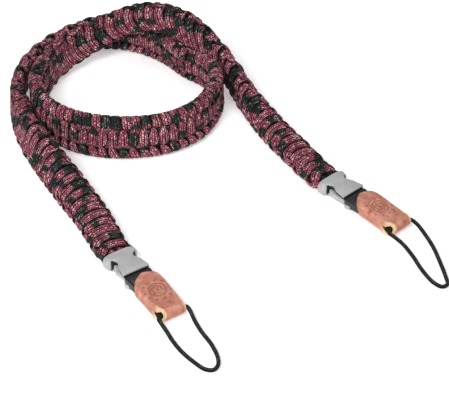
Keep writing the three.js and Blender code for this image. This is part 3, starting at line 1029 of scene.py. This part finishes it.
def leather(side):
    """One strip, rolled round the tube, with its length and its place across in its UV map."""
    line, run = strip_line()
    heading = unit(np.gradient(line[:, :2], axis=0))
    outward = np.stack([-heading[:, 1], heading[:, 0]], -1)
    near, far = strip_edges(line[:, 0])
    verts, uvs = [], []
    for face in (1, -1):
        for i, (along, up, thick) in enumerate(line):
            for k in range(ACROSS_STEPS + 1):
                share = k / ACROSS_STEPS
                crown = -CROWN * (2 * share - 1) ** 4 if face > 0 else 0
                off = outward[i] * face * (thick / 2 + crown)
                x, z = along + off[0], up + off[1]
                ramp = min(max((along - NEAR_SLOPE_FROM) / NEAR_SLOPE_RUN, 0), 1)
                aslant = NEAR_SLOPE * (z - TUBE_RADIUS) * ramp
                if along > TUBE_FROM:
                    aslant += TUBE_SLOPE * (x - TUBE_ALONG)
                across = near[i] + (far[i] - near[i]) * share + aslant * (1 - share) ** 3
                verts.append((x, across, z))
                uvs.append((run[i], across))
    count, row = len(line), ACROSS_STEPS + 1
    under = count * row
    faces, slots = [], []
    for i in range(count - 1):
        in_tube = BORE_FROM < (line[i, 0] + line[i + 1, 0]) / 2
        for k in range(ACROSS_STEPS):
            a = i * row + k
            faces.append((a, a + 1, a + row + 1, a + row))
            faces.append((under + a, under + a + row, under + a + row + 1, under + a + 1))
            rim = in_tube and k in (0, ACROSS_STEPS - 1)
            # inside the tube the under side takes the painted shade of the bore
            slots += [RAW_SLOT if rim else TAN_SLOT, BORE_SLOT if in_tube else TAN_SLOT]
        for k, flip in ((0, 1), (ACROSS_STEPS, -1)):
            a = i * row + k
            faces.append((a, a + row, under + a + row, under + a)[::flip])
            slots.append(TAN_SLOT if run[i] < TANNED_EDGE else RAW_SLOT)
    for i, flip in ((0, -1), (count - 1, 1)):
        for k in range(ACROSS_STEPS):
            a = i * row + k
            faces.append((a, a + 1, under + a + 1, under + a)[::flip])
            slots.append(RAW_SLOT)
    obj = new_object(f"{side}_leather_strip", verts, faces, [leather_look, raw_look, bore_painted_shade_look])
    layer = obj.data.uv_layers.new(name="strip")
    for loop in obj.data.loops:
        layer.data[loop.index].uv = uvs[loop.vertex_index]
    obj.data.polygons.foreach_set("material_index", np.array(slots, dtype=np.int32))
    # nothing to edit but the normals
    with editing(obj):
        pass
    rounded(obj, LEATHER_EDGE)
    return obj


for side in ENDS:
    takes_place(laid(socket(side), side), f"{side}_buckle_socket")
    takes_place(laid(plug(side), side), f"{side}_buckle_plug")
    takes_place(laid(leather(side), side), f"{side}_leather_tab")

takes_place(cobra("left_leg_weave", 0.0, NECK_START, 1, 1.0), "left_leg_braid")
takes_place(neck("neck_weave", NECK_START, NECK_END, 2.0), "neck_braid")
takes_place(cobra("right_leg_weave", NECK_END, BAND_LENGTH, -1, 3.0),
            "right_leg_braid")

# the bright floor and the light of the studio, in metres
FLOOR_SIZE = 6
FLOOR_DROP = 0.0004
FLOOR_GLOW = 0.36
WORLD_LIGHT = 0.26
# place, size, power; all shine on the origin
LIGHTS = {
    "key": ((-0.6, -1.0, 1.15), 0.6, 19.0),
    "fill": ((0.95, -0.8, 0.8), 1.0, 4.0),
    "top": ((0.1, 0.5, 1.4), 1.2, 4.5),
}

floor_look = Graph("floor_look")
floor_look.surface(Base_Color=(0.95, 0.95, 0.95, 1), Roughness=0.9,
                   Emission_Color=(1, 1, 1, 1), Emission_Strength=FLOOR_GLOW)
bpy.ops.mesh.primitive_plane_add(size=FLOOR_SIZE, location=(0, 0, -FLOOR_DROP))
floor = bpy.context.object
floor.name = "floor"
floor.data.materials.append(floor_look.material)

for name, (place, size, power) in LIGHTS.items():
    data = bpy.data.lights.new(name, "AREA")
    data.energy = power
    data.size = size
    light = bpy.data.objects.new(name, data)
    bpy.context.scene.collection.objects.link(light)
    light.location = place
    light.rotation_euler = (-Vector(place)).to_track_quat("-Z", "Y").to_euler()

world = bpy.data.worlds.new("studio")
bpy.context.scene.world = world
world.use_nodes = True
background = world.node_tree.nodes["Background"]
background.inputs["Color"].default_value = (1, 1, 1, 1)
background.inputs["Strength"].default_value = WORLD_LIGHT
bpy.context.scene.view_settings.view_transform = "Standard"
